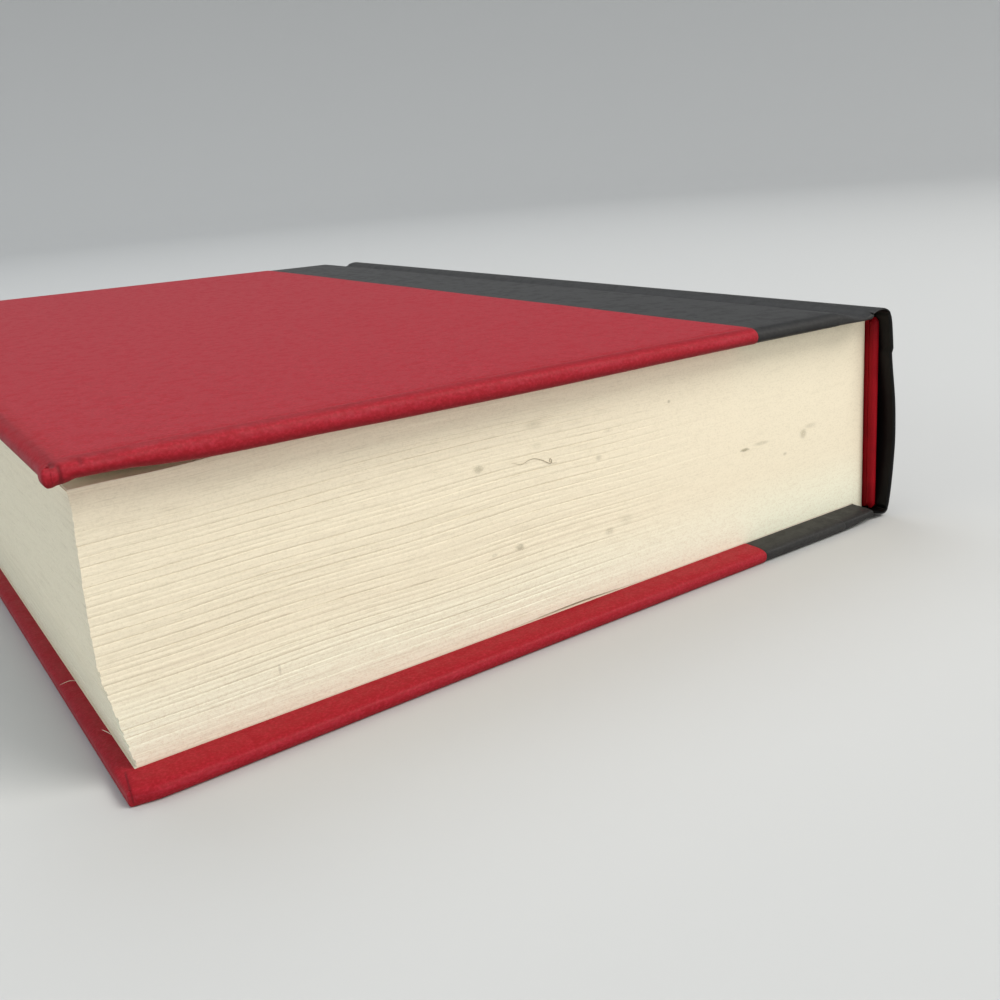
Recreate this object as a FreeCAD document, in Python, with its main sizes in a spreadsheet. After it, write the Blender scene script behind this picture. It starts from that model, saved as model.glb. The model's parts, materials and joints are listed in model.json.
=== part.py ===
import FreeCAD, Part
import math
import os
import re

import Sketcher
from FreeCAD import Placement, Rotation, Vector

# A case-bound book that lies on its back cover. Head of the pages towards -Y, fore-edge towards -X,
# spine towards +X, +Z up, origin under the middle of the whole book. Millimetres.

doc = FreeCAD.newDocument("hardback_book")

# Every size that can be set by itself: its name, its value and what it is.
driving = [
    ("page_width", 158.1, "page block, fore-edge to spine"),
    ("page_height", 229.0, "page block, head to tail"),
    ("block_thick", 40.1, "pages and flyleaves between the covers, at the front hinge"),
    ("block_lean", 0.6, "how far the top of the block's spine side leans to the fore-edge"),
    ("fore_edge_lean", 1.2, "how far the top fore-edge corner stands out past the bottom one"),
    ("fore_edge_bow", 138.0, "radius of the bulging fore-edge"),
    ("droop_run", 32.0, "width of the pages that droop under the front cover"),
    ("droop_depth", 1.9, "how far they droop at the fore-edge"),
    ("shoulder_width", 3.8, "hinge line to the block's spine side"),
    ("shoulder_drop", 1.9, "how far the block's lower spine edge sags into the joint"),
    ("leaf_thick", 0.15, "endpaper"),
    ("board_width", 148.8, "cover board, fore-edge to joint"),
    ("board_thick", 2.3, "cover board"),
    ("board_edge_round", 0.35, "rounding of a board's edges"),
    ("paper_thick", 0.22, "covering paper"),
    ("paper_edge_round", 0.5, "rounding of the covered edges"),
    ("side_width", 124.8, "red side paper on the board, from the fore-edge to the seam"),
    ("turn_in", 15.0, "covering paper folded over to the inside"),
    ("head_square", 5.0, "cover standing past the head of the pages"),
    ("tail_square", 2.44, "cover standing past the tail of the pages"),
    ("paste_margin", 2.6, "pastedown set back from the cover's fore-edge"),
    ("front_tilt", 1.42, "slope of the front cover, degrees"),
    ("case_lean", 1.4, "front hinge set over towards the fore-edge"),
    ("joint_gap", 8.0, "hinge line to the covered board's edge"),
    ("joint_thick", 1.0, "cloth, lining and endpaper glued together in the joint"),
    ("joint_room", 0.05, "room between the joint strip and the covered board"),
    ("ridge_foot", 0.5, "hinge line to the foot of the spine's ridge"),
    ("ridge_top", 1.4, "hinge line to the top of the ridge"),
    ("ridge_rise", 2.1, "height of the front ridge over the block"),
    ("spine_room", 0.1, "room between the headband beads and the line of the spine's inside corners"),
    ("spine_bow", 1.8, "bulge of the spine between its corners"),
    ("spine_corner", 1.8, "rounding of the spine covering's corners"),
    ("stiffener_thick", 0.5, "card strip inside the spine"),
    ("stiffener_room", 1.8, "card strip kept back from the spine's corners"),
    ("spine_turn_in", 12.0, "spine covering folded over the card strip's ends"),
    ("mull_thick", 0.25, "gauze glued to the spine side of the pages"),
    ("liner_thick", 0.35, "paper glued over the gauze"),
    ("band_tape", 11.0, "headband tape along the spine"),
    ("band_bead", 1.7, "headband bead, diameter"),
    ("band_room", 0.4, "room between the bead and the ends of the pages"),
    ("band_step", 0.4, "headband kept back from the faces of the block"),
]

sheet = doc.addObject("Spreadsheet::Sheet", "sizes")
for row, (alias, value, note) in enumerate(driving, start=1):
    sheet.set(f"A{row}", note)
    sheet.set(f"B{row}", str(value))
    sheet.setAlias(f"B{row}", alias)
doc.recompute()

# Lengths that follow from the sizes above, as expressions. The hinge frames have their origin on a
# hinge line, in the plane where cover and pages meet: the cover runs from there towards -X and +Z.
coverWidth = "(board_width + 2 * paper_thick)"
coverLength = "(head_square + page_height + tail_square)"
boardLength = f"({coverLength} - 2 * paper_thick)"
coverThick = "(leaf_thick + 2 * paper_thick + board_thick)"
edgeX = "(-joint_gap)"
boardSpineX = "(-joint_gap - paper_thick)"
boardForeX = f"({boardSpineX} - board_width)"
coverForeX = f"({boardForeX} - paper_thick)"
seamX = f"({coverForeX} + side_width)"
turnInZ = "leaf_thick"
boardLowZ = "(leaf_thick + paper_thick)"
boardHighZ = f"({boardLowZ} + board_thick)"

# The same for the page block, in the back hinge frame turned upright.
blockForeX = "(shoulder_width - page_width)"
blockTopSpineX = "(shoulder_width - block_lean)"
beadX = "((mull_thick + liner_thick) / 2)"
spineCornerX = (f"(shoulder_width + {beadX} + band_bead / 2 + spine_room"
                " + stiffener_thick + 2 * paper_thick)")


def bound(text):
    """An expression in sheet cells: every name with an underscore is a cell."""
    return re.sub(r"[a-z]+(?:_[a-z]+)+", lambda word: "sizes." + word.group(0), text)


def number(text):
    """The value of such an expression, for what is placed or shaped by code."""
    return float(sheet.evalExpression(text))


def topLine(x):
    """Height of the plane under the front cover, at x in the upright back hinge frame."""
    return f"(block_thick - tan(front_tilt) * (({x}) + case_lean))"


blockTopSpineZ = f"({topLine(blockTopSpineX)} - leaf_thick / cos(front_tilt))"
blockLowSpineZ = "(leaf_thick - shoulder_drop)"
spineSide = f"({blockTopSpineZ} - {blockLowSpineZ})"


def backFrame(extra=Vector(0, 0, 0)):
    """Upright frame on the back hinge line."""
    span = number(f"{coverWidth} * cos(front_tilt) + joint_gap + case_lean")
    x = (span - number(f"{spineCornerX} + spine_bow")) / 2
    return Placement(Vector(x, 0, number(coverThick)) + extra, Rotation())


def frontFrame():
    """Front hinge line: sloping as the front cover does."""
    lift = Vector(-number("case_lean"), 0, number("block_thick"))
    slope = Rotation(Vector(0, 1, 0), number("front_tilt"))
    return backFrame().multiply(Placement(lift, slope))


def backCoverFrame():
    """Back hinge line turned over, so that the cover's outside faces down."""
    return backFrame().multiply(Placement(Vector(), Rotation(Vector(1, 0, 0), 180)))


def blockMiddleY():
    return number(f"head_square - {coverLength} / 2 + page_height / 2")


def spineFrame():
    """On the lower spine edge of the block, leaning as its spine side does."""
    lean = math.degrees(math.atan2(number("block_lean"), number(spineSide)))
    foot = Vector(number("shoulder_width"), blockMiddleY(), number(blockLowSpineZ))
    return backFrame().multiply(Placement(foot, Rotation(Vector(0, 1, 0), -lean)))


def newBody(label):
    body = doc.addObject("PartDesign::Body", label)
    body.Label = label
    return body


def newSketch(body, name, role, height="0"):
    sketch = body.newObject("Sketcher::SketchObject", name)
    plane = next(part for part in body.Origin.OriginFeatures if part.Role == role)
    sketch.AttachmentSupport = [(plane, "")]
    sketch.MapMode = "FlatFace"
    sketch.setExpression("AttachmentOffset.Base.z", bound(height))
    return sketch


def drawOutline(sketch, corners):
    """Closed outline, anticlockwise. A corner is (x, y) or (x, y, radius): with a radius, the side that
    leaves it is an arc that bulges outwards, or inwards where the radius is given as negative."""
    points = [Vector(number(c[0]), number(c[1]), 0) for c in corners]
    for index, corner in enumerate(corners):
        start = points[index]
        end = points[(index + 1) % len(points)]
        forward = True
        if len(corner) == 2:
            side = sketch.addGeometry(Part.LineSegment(start, end))
        else:
            radius = number(corner[2])
            forward = radius > 0
            half = end.sub(start).multiply(0.5)
            across = Vector(-half.y, half.x, 0).normalize()
            depth = math.sqrt(radius ** 2 - half.Length ** 2)
            middle = start.add(half).add(across.multiply(math.copysign(depth, radius)))
            first, last = (start, end) if forward else (end, start)
            angles = [math.atan2(p.y - middle.y, p.x - middle.x) for p in (first, last)]
            circle = Part.Circle(middle, Vector(0, 0, 1), abs(radius))
            side = sketch.addGeometry(Part.ArcOfCircle(circle, angles[0], angles[1]))
            rule = sketch.addConstraint(Sketcher.Constraint("Radius", side, abs(radius)))
            sketch.setExpression(f"Constraints[{rule}]", bound(f"abs({corner[2]})"))
        near = 1 if forward else 2
        for kind, value, text in (("DistanceX", start.x, corner[0]), ("DistanceY", start.y, corner[1])):
            rule = sketch.addConstraint(Sketcher.Constraint(kind, side, near, value))
            sketch.setExpression(f"Constraints[{rule}]", bound(text))
        if index:
            sketch.addConstraint(Sketcher.Constraint("Coincident", lastSide, lastEnd, side, near))
        else:
            firstSide, firstNear = side, near
        lastSide, lastEnd = side, 3 - near
    sketch.addConstraint(Sketcher.Constraint("Coincident", lastSide, lastEnd, firstSide, firstNear))


def drawRectangle(sketch, left, right, low, high):
    drawOutline(sketch, [(left, low), (right, low), (right, high), (left, high)])


def addPad(body, sketch, length, symmetric=False):
    pad = body.newObject("PartDesign::Pad", sketch.Name + "_pad")
    pad.Profile = sketch
    pad.SideType = "Symmetric" if symmetric else "One side"
    pad.setExpression("Length", bound(length))
    doc.recompute()
    return pad


def addPocket(body, sketch, length):
    """Cuts down from the sketch's plane."""
    before = body.Shape.Volume
    pocket = body.newObject("PartDesign::Pocket", sketch.Name + "_pocket")
    pocket.Profile = sketch
    pocket.setExpression("Length", bound(length))
    doc.recompute()
    if body.Shape.Volume >= before:
        raise RuntimeError(f"{sketch.Name} cuts nothing")
    return pocket


def addFillet(body, base, radius, wanted):
    """Rounds the edges whose middle passes the test."""
    names = []
    for index, edge in enumerate(base.Shape.Edges, start=1):
        if wanted(edge.CenterOfMass):
            names.append(f"Edge{index}")
    fillet = body.newObject("PartDesign::Fillet", base.Name + "_round")
    fillet.Base = (base, names)
    fillet.setExpression("Radius", bound(radius))
    doc.recompute()
    return fillet


# The page block: one solid whose fore-edge bulges and whose top leaves droop at the fore-edge.
def makeTextBlock():
    body = newBody("text_block")
    sketch = newSketch(body, "block_section", "XZ_Plane")
    cornerX = f"({blockForeX} - fore_edge_lean)"
    crestX = f"({cornerX} + droop_run * cos(front_tilt) + droop_depth * sin(front_tilt))"
    crestZ = f"({topLine(crestX)} - leaf_thick / cos(front_tilt))"
    cornerZ = f"({crestZ} + droop_run * sin(front_tilt) - droop_depth * cos(front_tilt))"
    droopRadius = "((droop_run ^ 2 + droop_depth ^ 2) / (2 * droop_depth))"
    drawOutline(sketch, [
        (blockForeX, "leaf_thick"),
        ("ridge_foot", "leaf_thick"),
        ("shoulder_width", blockLowSpineZ),
        (blockTopSpineX, blockTopSpineZ),
        (crestX, crestZ, droopRadius),
        (cornerX, cornerZ, "fore_edge_bow"),
    ])
    addPad(body, sketch, "page_height", symmetric=True)
    body.Placement = backFrame(Vector(0, blockMiddleY(), 0))
    return body


def makeBackFlyleaf():
    body = newBody("back_flyleaf")
    sketch = newSketch(body, "back_leaf_section", "XZ_Plane")
    drawOutline(sketch, [
        (blockForeX, "0"),
        ("ridge_foot", "0"),
        ("shoulder_width", "(-shoulder_drop)"),
        ("shoulder_width", blockLowSpineZ),
        ("ridge_foot", "leaf_thick"),
        (blockForeX, "leaf_thick"),
    ])
    addPad(body, sketch, "page_height", symmetric=True)
    body.Placement = backFrame(Vector(0, blockMiddleY(), 0))
    return body


# Lies on the block, so it droops with it. Drawn in the front hinge frame.
def makeFrontFlyleaf():
    body = newBody("front_flyleaf")
    sketch = newSketch(body, "front_leaf_section", "XZ_Plane")
    spineX = f"(({blockTopSpineX} + case_lean) * cos(front_tilt))"
    foreX = f"({blockForeX} - fore_edge_lean)"
    crestX = f"(({foreX} + case_lean) / cos(front_tilt) + droop_run)"
    cornerX = f"({crestX} - droop_run)"
    radius = "((droop_run ^ 2 + droop_depth ^ 2) / (2 * droop_depth))"
    drawOutline(sketch, [
        (cornerX, "-leaf_thick - droop_depth", f"-{radius}"),
        (crestX, "-leaf_thick"),
        (spineX, "-leaf_thick"),
        (spineX, "0"),
        (crestX, "0", radius),
        (cornerX, "-droop_depth"),
    ])
    addPad(body, sketch, "page_height", symmetric=True)
    body.Placement = frontFrame().multiply(Placement(Vector(0, blockMiddleY(), 0), Rotation()))
    return body


# Gauze and paper on the spine side of the pages, between the two headband tapes.
def makeSpineLayer(label, inner, outer):
    body = newBody(label)
    sketch = newSketch(body, label + "_section", "XZ_Plane")
    drawRectangle(sketch, inner, outer, "band_step", f"({spineSide} - band_step)")
    addPad(body, sketch, "page_height - 2 * band_tape - 2 * band_step", symmetric=True)
    body.Placement = spineFrame()
    return body


# A tape glued to the spine side. It stands past the pages and carries a round bead that lies on their
# end, over the spine corner. side is -1 at the head.
def makeHeadband(label, side):
    body = newBody(label)
    beadY = f"({side} * (page_height / 2 + band_room + band_bead / 2))"
    inner = f"({side} * (page_height / 2 - band_tape))"
    low, high = (beadY, inner) if side < 0 else (inner, beadY)
    reach = f"({spineSide} - 2 * band_step)"
    tape = newSketch(body, label + "_tape", "XY_Plane", "band_step")
    drawRectangle(tape, "0", "(mull_thick + liner_thick)", low, high)
    addPad(body, tape, reach)
    bead = newSketch(body, label + "_bead", "XY_Plane", "band_step")
    centre = Vector(number(beadX), number(beadY), 0)
    ring = bead.addGeometry(Part.Circle(centre, Vector(0, 0, 1), number("band_bead") / 2))
    rules = [
        (Sketcher.Constraint("Diameter", ring, number("band_bead")), "band_bead"),
        (Sketcher.Constraint("DistanceX", ring, 3, centre.x), beadX),
        (Sketcher.Constraint("DistanceY", ring, 3, centre.y), beadY),
    ]
    for constraint, text in rules:
        rule = bead.addConstraint(constraint)
        bead.setExpression(f"Constraints[{rule}]", bound(text))
    addPad(body, bead, reach)
    body.Placement = spineFrame()
    return body


# The spine's section, as an open path from the back ridge round to the front ridge, in the upright
# back hinge frame. Its two outer corners are rounded and the side between them is bowed.
def spineCorners():
    lean = number("case_lean")
    middle = number(spineCornerX)
    lower = Vector(middle + lean / 2, 0, -number(coverThick))
    upper = Vector(middle - lean / 2, 0, number("block_thick + ridge_rise"))
    return lower, upper


def bowRadius():
    lower, upper = spineCorners()
    chord = upper.sub(lower).Length
    bow = number("spine_bow")
    return (chord ** 2 / 4 + bow ** 2) / (2 * bow)


def bowCentre():
    lower, upper = spineCorners()
    along = upper.sub(lower).normalize()
    inward = Vector(-along.z, 0, along.x)
    middle = lower.add(upper).multiply(0.5)
    return middle.add(inward.multiply(bowRadius() - number("spine_bow")))


def roundedCorner(sideZ, towards):
    """Arc between the level side at sideZ and the bow: towards is 1 where the bow goes up from it."""
    radius = number("spine_corner")
    centre = bowCentre()
    z = sideZ + towards * radius
    middle = Vector(centre.x + math.sqrt((bowRadius() - radius) ** 2 - (z - centre.z) ** 2), 0, z)
    outward = middle.sub(centre).normalize()
    onSide = Vector(middle.x, 0, sideZ)
    onBow = middle.add(outward.multiply(radius))
    between = onSide.add(onBow).multiply(0.5).sub(middle).normalize().multiply(radius)
    return onSide, middle.add(between), onBow


def spinePath():
    lower, upper = spineCorners()
    lean = number("case_lean")
    foot = number("ridge_foot")
    top = number("ridge_top")
    joint = number("joint_thick")
    slope = math.tan(math.radians(number("front_tilt")))
    backFoot = Vector(foot, 0, -joint)
    backRidge = Vector(top, 0, lower.z)
    frontRidge = Vector(top - lean, 0, upper.z)
    frontFoot = Vector(foot - lean, 0, number("block_thick") + joint - slope * foot)
    lowSide, lowBend, lowBow = roundedCorner(lower.z, 1)
    highSide, highBend, highBow = roundedCorner(upper.z, -1)
    belly = bowCentre().add(Vector(bowRadius(), 0, 0))
    sides = [
        Part.makeLine(backFoot, backRidge),
        Part.makeLine(backRidge, lowSide),
        Part.Arc(lowSide, lowBend, lowBow).toShape(),
        Part.Arc(lowBow, belly, highBow).toShape(),
        Part.Arc(highBow, highBend, highSide).toShape(),
        Part.makeLine(highSide, frontRidge),
        Part.makeLine(frontRidge, frontFoot),
    ]
    return Part.Wire(sides)


# A strip of the bowed side: a ring sector between two depths under the spine's outer face.
def bowedStrip(outerDepth, innerDepth, startY, length):
    radius = bowRadius()
    centre = bowCentre().add(Vector(0, startY, 0))
    outer = Part.makeCylinder(radius - outerDepth, length, centre, Vector(0, 1, 0))
    inner = Part.makeCylinder(radius - innerDepth, length, centre, Vector(0, 1, 0))
    lower, upper = spineCorners()
    room = number("stiffener_room")
    height = upper.z - lower.z - 2 * room
    window = Part.makeBox(radius, length, height, Vector(0, startY, lower.z + room))
    return outer.cut(inner).common(window)


# The black sheet round the spine: outside, ridges, and the ends folded in over the card strip.
def makeSpineCovering():
    paper = number("paper_thick")
    card = number("stiffener_thick")
    length = number(coverLength)
    start = -length / 2
    section = spinePath().makeOffset2D(paper, fill=True, openResult=True)
    section.translate(Vector(0, start, 0))
    covering = section.extrude(Vector(0, length, 0))
    turnIn = number("spine_turn_in")
    innerDepth = paper + card
    for endY, foldY in ((start, start), (-start - paper, -start - turnIn)):
        covering = covering.fuse(bowedStrip(paper / 2, innerDepth + paper, endY, paper))
        covering = covering.fuse(bowedStrip(innerDepth, innerDepth + paper, foldY, turnIn))
    covering = covering.removeSplitter()
    feature = doc.addObject("Part::Feature", "spine_covering")
    feature.Label = "spine_covering"
    feature.Shape = covering
    feature.Placement = backFrame()
    return feature


def makeSpineStiffener():
    paper = number("paper_thick")
    length = number(coverLength) - 2 * paper
    strip = bowedStrip(paper, paper + number("stiffener_thick"), -length / 2, length)
    feature = doc.addObject("Part::Feature", "spine_stiffener")
    feature.Label = "spine_stiffener"
    feature.Shape = strip
    feature.Placement = backFrame()
    return feature


# The flexible strip between a board and the ridge: it carries the cover.
def makeJoint(label, frame):
    body = newBody(label)
    sketch = newSketch(body, label + "_section", "XZ_Plane")
    drawRectangle(sketch, f"({edgeX} + joint_room)", "ridge_foot - joint_room", "0", "joint_thick")
    addPad(body, sketch, coverLength, symmetric=True)
    body.Placement = frame
    return body


def makeBoard(label, frame):
    body = newBody(label)
    sketch = newSketch(body, label + "_outline", "XY_Plane", boardLowZ)
    half = f"({boardLength} / 2)"
    drawRectangle(sketch, boardForeX, boardSpineX, f"(-{half})", half)
    pad = addPad(body, sketch, "board_thick")
    addFillet(body, pad, "board_edge_round", lambda middle: True)
    body.Placement = frame
    return body


# Paper wrapped round the board from one seam to the edge and folded in: the board lies in it.
def makeWrap(label, frame, outer, cavity, window, seam):
    body = newBody(label)
    sketch = newSketch(body, label + "_outline", "XY_Plane", turnInZ)
    drawRectangle(sketch, *outer)
    pad = addPad(body, sketch, "(board_thick + 2 * paper_thick)")
    seamPlace = number(seam)
    addFillet(body, pad, "paper_edge_round", lambda middle: abs(middle.x - seamPlace) > 0.01)
    room = newSketch(body, label + "_board_room", "XY_Plane", boardHighZ)
    drawRectangle(room, *cavity)
    addPocket(body, room, "board_thick")
    opening = newSketch(body, label + "_turn_in", "XY_Plane", boardLowZ)
    drawRectangle(opening, *window)
    addPocket(body, opening, "paper_thick")
    body.Placement = frame
    return body


def makeSidePaper(label, frame):
    past = f"({seamX} + paper_thick)"
    half = f"{boardLength} / 2"
    outer = (coverForeX, seamX, f"(-{coverLength} / 2)", f"({coverLength} / 2)")
    cavity = (boardForeX, past, f"(-{half})", f"({half})")
    window = (f"({coverForeX} + turn_in)", past, f"(turn_in - {half})", f"({half} - turn_in)")
    return makeWrap(label, frame, outer, cavity, window, seamX)


def makeSpineStrip(label, frame):
    before = f"({seamX} - paper_thick)"
    past = f"({edgeX} + paper_thick)"
    half = f"{boardLength} / 2"
    outer = (seamX, edgeX, f"(-{coverLength} / 2)", f"({coverLength} / 2)")
    cavity = (before, boardSpineX, f"(-{half})", f"({half})")
    window = (before, past, f"(turn_in - {half})", f"({half} - turn_in)")
    return makeWrap(label, frame, outer, cavity, window, seamX)


# The endpaper half that is glued to the board: it fills the room between the turn-ins.
def makePastedown(label, frame, turned):
    body = newBody(label)
    middleY = f"({turned} * (head_square - {coverLength} / 2 + page_height / 2))"
    low = f"({middleY} - page_height / 2)"
    high = f"({middleY} + page_height / 2)"
    sheetSketch = newSketch(body, label + "_sheet", "XY_Plane")
    drawRectangle(sheetSketch, f"({coverForeX} + paste_margin)", edgeX, low, high)
    addPad(body, sheetSketch, "leaf_thick")
    inner = newSketch(body, label + "_inner", "XY_Plane")
    half = f"{boardLength} / 2"
    drawRectangle(inner, f"({coverForeX} + turn_in)", edgeX, f"(turn_in - {half})", f"({half} - turn_in)")
    addPad(body, inner, "leaf_thick + paper_thick")
    body.Placement = frame
    return body


parts = [
    makeTextBlock(),
    makeBackFlyleaf(),
    makeFrontFlyleaf(),
    makeSpineLayer("spine_mull", "0", "mull_thick"),
    makeSpineLayer("spine_liner", "mull_thick", "(mull_thick + liner_thick)"),
    makeHeadband("head_band", -1),
    makeHeadband("tail_band", 1),
    makeSpineStiffener(),
    makeSpineCovering(),
    makeJoint("front_joint", frontFrame()),
    makeJoint("back_joint", backCoverFrame()),
]
for side, frame, turned in (("front", frontFrame(), 1), ("back", backCoverFrame(), -1)):
    parts.append(makeBoard(f"{side}_board", frame))
    parts.append(makeSidePaper(f"{side}_side_paper", frame))
    parts.append(makeSpineStrip(f"{side}_spine_strip", frame))
    parts.append(makePastedown(f"{side}_pastedown", frame, turned))

doc.recompute()
for thing in doc.Objects:
    if "Invalid" in thing.State or "Error" in thing.State:
        raise RuntimeError(f"{thing.Label} failed")
for part in parts:
    if part.Shape.isNull() or not part.Shape.isValid() or not part.Shape.Solids:
        raise RuntimeError(f"{part.Label} has no valid shape")

os.makedirs("parts", exist_ok=True)
for part in parts:
    part.Shape.exportStep(f"parts/{part.Label}.step")
    box = part.Shape.BoundBox
    print(f"{part.Label}: {len(part.Shape.Solids)} solid, {part.Shape.Volume:.1f} mm3,"
          f" x {box.XMin:.2f} {box.XMax:.2f}, y {box.YMin:.2f} {box.YMax:.2f}, z {box.ZMin:.2f} {box.ZMax:.2f}")
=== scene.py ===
import json
import math

import bmesh
import bpy
import numpy as np
from mathutils import Matrix, Vector


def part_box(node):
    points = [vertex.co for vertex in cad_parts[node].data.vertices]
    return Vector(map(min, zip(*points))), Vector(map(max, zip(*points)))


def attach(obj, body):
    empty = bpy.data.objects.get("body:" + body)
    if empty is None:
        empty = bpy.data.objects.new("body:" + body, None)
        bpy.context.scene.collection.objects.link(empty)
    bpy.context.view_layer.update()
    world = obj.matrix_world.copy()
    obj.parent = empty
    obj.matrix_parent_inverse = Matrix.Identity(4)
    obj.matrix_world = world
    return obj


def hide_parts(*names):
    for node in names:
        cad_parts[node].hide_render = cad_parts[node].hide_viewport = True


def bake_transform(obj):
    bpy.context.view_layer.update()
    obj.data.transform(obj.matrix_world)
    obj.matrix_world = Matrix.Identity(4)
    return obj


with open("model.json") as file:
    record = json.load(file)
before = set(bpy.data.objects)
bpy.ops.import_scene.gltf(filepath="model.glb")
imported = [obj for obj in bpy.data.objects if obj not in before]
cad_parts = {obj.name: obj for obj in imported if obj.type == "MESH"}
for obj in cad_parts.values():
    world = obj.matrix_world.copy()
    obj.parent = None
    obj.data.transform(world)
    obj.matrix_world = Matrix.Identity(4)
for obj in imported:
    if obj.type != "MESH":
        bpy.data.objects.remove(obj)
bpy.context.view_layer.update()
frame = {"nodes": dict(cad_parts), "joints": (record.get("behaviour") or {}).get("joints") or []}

scene = bpy.context.scene
nodes = frame["nodes"]
hinges = {j["child"]: Vector(j["pos_m"]) * 1000 for j in frame["joints"]}
print("frame loaded")

# Meshes are worked out in millimetres, in the frame's axes: +X to the spine, +Y to the tail, +Z up.
frontSlope = math.radians(1.42)  # the front cover rises towards the fore-edge
leafThick = 0.15
paperThick = 0.22


def boxMm(node):
    low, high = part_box(node)
    return low * 1000, high * 1000


def smoothStep(low, high, value):
    t = np.clip((value - low) / (high - low), 0, 1)
    return t * t * (3 - 2 * t)


def bump(value, centre, width):  # a soft hump, 1 at the centre
    return np.exp(-((value - centre) / width) ** 2)


def waves(seed, lengths, *places):  # smooth chance heights from -1 to 1, the same each run
    chance = np.random.default_rng(seed)
    total = np.zeros_like(np.asarray(places[0], float))
    for length in lengths:
        phase = chance.uniform(0, 2 * math.pi)
        turn = chance.uniform(0, 2 * math.pi)
        if len(places) == 1:
            total = total + np.sin(2 * math.pi * places[0] / length + phase)
        else:
            along = places[0] * math.cos(turn) + places[1] * math.sin(turn)
            total = total + np.sin(2 * math.pi * along / length + phase)
    return total / len(lengths)


# Places from low to high, close together at both ends, or only at the high end without fineLow.
def gridLines(low, high, fine, coarse, growth=1.35, fineLow=True):
    def fromEnd(length):
        places, step, at = [0.0], fine, 0.0
        while at + step < length:
            at += step
            places.append(at)
            step = min(step * growth, coarse)
        return places
    if fineLow:
        half = fromEnd((high - low) / 2)
        places = [low + p for p in half] + [high - p for p in reversed(half)]
    else:
        places = [low] + [high - p for p in reversed(fromEnd(high - low))]
    kept = [places[0]]
    for place in places[1:]:
        if place - kept[-1] > fine * 0.4:
            kept.append(place)
    kept[-1] = places[-1]
    return np.array(kept)


def ringFaces(rings, count, first=0):  # quads between neighbouring rings of points
    return [(first + r * count + c, first + r * count + (c + 1) % count,
             first + (r + 1) * count + (c + 1) % count, first + (r + 1) * count + c)
            for r in range(rings - 1) for c in range(count)]


def makePiece(name, points, faces, material, sharpAt=40, attributes=None):
    mesh = bpy.data.meshes.new(name)
    mesh.from_pydata((np.asarray(points, float) * 0.001).tolist(), [], [tuple(f) for f in faces])
    mesh.validate()
    work = bmesh.new()
    work.from_mesh(mesh)
    bmesh.ops.recalc_face_normals(work, faces=work.faces)
    work.to_mesh(mesh)
    work.free()
    mesh.polygons.foreach_set("use_smooth", [True] * len(mesh.polygons))
    mesh.set_sharp_from_angle(angle=math.radians(sharpAt))
    for label, values in (attributes or {}).items():
        values = np.asarray(values, np.float32)
        kind, field = ("FLOAT", "value") if values.ndim == 1 else ("FLOAT_VECTOR", "vector")
        layer = mesh.attributes.new(label, kind, "POINT")
        layer.data.foreach_set(field, values.ravel())
    mesh.materials.append(material)
    piece = bpy.data.objects.new(name, mesh)
    scene.collection.objects.link(piece)
    return piece


def boxShell(xs, ys, zs):  # the surface of a box, cut along the given lines
    nx, ny, nz = len(xs), len(ys), len(zs)
    index = -np.ones((nx, ny, nz), int)
    onSurface = np.zeros((nx, ny, nz), bool)
    onSurface[[0, -1], :, :] = True
    onSurface[:, [0, -1], :] = True
    onSurface[:, :, [0, -1]] = True
    index[onSurface] = np.arange(onSurface.sum())
    i, j, k = np.nonzero(onSurface)
    points = np.stack([xs[i], ys[j], zs[k]], axis=1)
    faces = []
    for plane in (index[0], index[-1], index[:, 0], index[:, -1], index[:, :, 0], index[:, :, -1]):
        quads = np.stack([plane[:-1, :-1], plane[1:, :-1], plane[1:, 1:], plane[:-1, 1:]], axis=-1)
        faces.extend(quads.reshape(-1, 4).tolist())
    return points, faces


def lathe(rings):  # skin over rings with the same number of points, closed at both ends
    count = len(rings[0])
    faces = ringFaces(len(rings), count)
    faces.append(tuple(range(count)))
    faces.append(tuple((len(rings) - 1) * count + i for i in range(count)))
    return np.concatenate(rings), faces


def curveThrough(corners, steps):  # Catmull-Rom curve through the given places
    corners = np.asarray(corners, float)
    ends = np.concatenate([[2 * corners[0] - corners[1]], corners, [2 * corners[-1] - corners[-2]]])
    places = []
    for a, b, c, d in zip(ends[:-3], ends[1:-2], ends[2:-1], ends[3:]):
        for t in np.arange(steps) / steps:
            places.append(0.5 * (2 * b + (c - a) * t + (2 * a - 5 * b + 4 * c - d) * t ** 2
                                 + (3 * b - a - 3 * c + d) * t ** 3))
    places.append(corners[-1])
    return np.array(places)


def tube(path, radius, sides=8):  # a thread along a path in space, thinner at its ends
    path = np.asarray(path, float)
    along = np.gradient(path, axis=0)
    along /= np.linalg.norm(along, axis=1)[:, None]
    across = np.cross(along, (0.3, 0.2, 1.0))
    across /= np.linalg.norm(across, axis=1)[:, None]
    over = np.cross(along, across)
    rings = []
    for k in range(len(path)):
        size = radius * min(1, 0.35 + 2 * min(k, len(path) - 1 - k) / len(path))
        rings.append([path[k] + size * (across[k] * math.cos(a) + over[k] * math.sin(a))
                      for a in np.linspace(0, 2 * math.pi, sides, endpoint=False)])
    return lathe(rings)


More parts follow.
